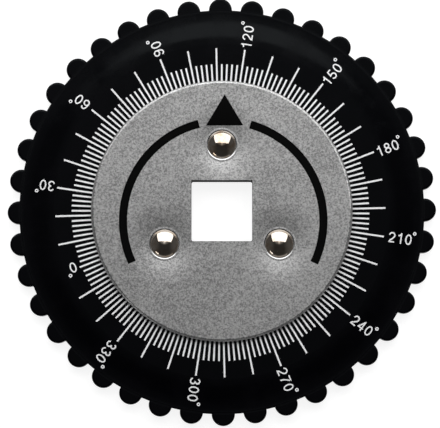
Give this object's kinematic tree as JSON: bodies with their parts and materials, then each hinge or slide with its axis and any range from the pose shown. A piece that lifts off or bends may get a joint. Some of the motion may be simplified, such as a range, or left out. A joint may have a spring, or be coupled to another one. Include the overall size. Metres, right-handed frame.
{
  "type": "torque angle gauge",
  "caption": "Torque angle gauge: a lobed black degree dial turns on a hub that is riveted between round plates with a square drive hole through the middle.",
  "frame": {"origin": "on the turning axis, at the outer face of the back plate that the gauge lies on", "axes": "+Z along the turning axis out of the scale face, +Y towards the pointer on the front plate, +X to the right of it"},
  "size_m": [0.0908, 0.0908, 0.006],
  "materials": {
    "dial_black": "satin black moulded plastic",
    "plate_steel": "fine matte grain, rolled edge",
    "hub_steel": "turned steel",
    "slip_plastic": "natural slip plastic",
    "spring_steel": "tempered strip",
    "rivet_nickel": "polished nickel plate"
  },
  "bodies": {
    "hub": {"front_plate": "plate_steel", "hub_spacer": "hub_steel", "back_plate": "plate_steel", "front_slip_washer": "slip_plastic", "rear_slip_washer": "slip_plastic", "wave_spring": "spring_steel", "rivet_top": "rivet_nickel", "rivet_lower_left": "rivet_nickel", "rivet_lower_right": "rivet_nickel"},
    "dial": {"dial_disc": "dial_black"}
  },
  "joints": [
    {"name": "dial_turn", "type": "hinge", "parent": "hub", "child": "dial", "pos_m": [0, 0, 0], "axis": [0, 0, 1], "continuous": true}
  ]
}
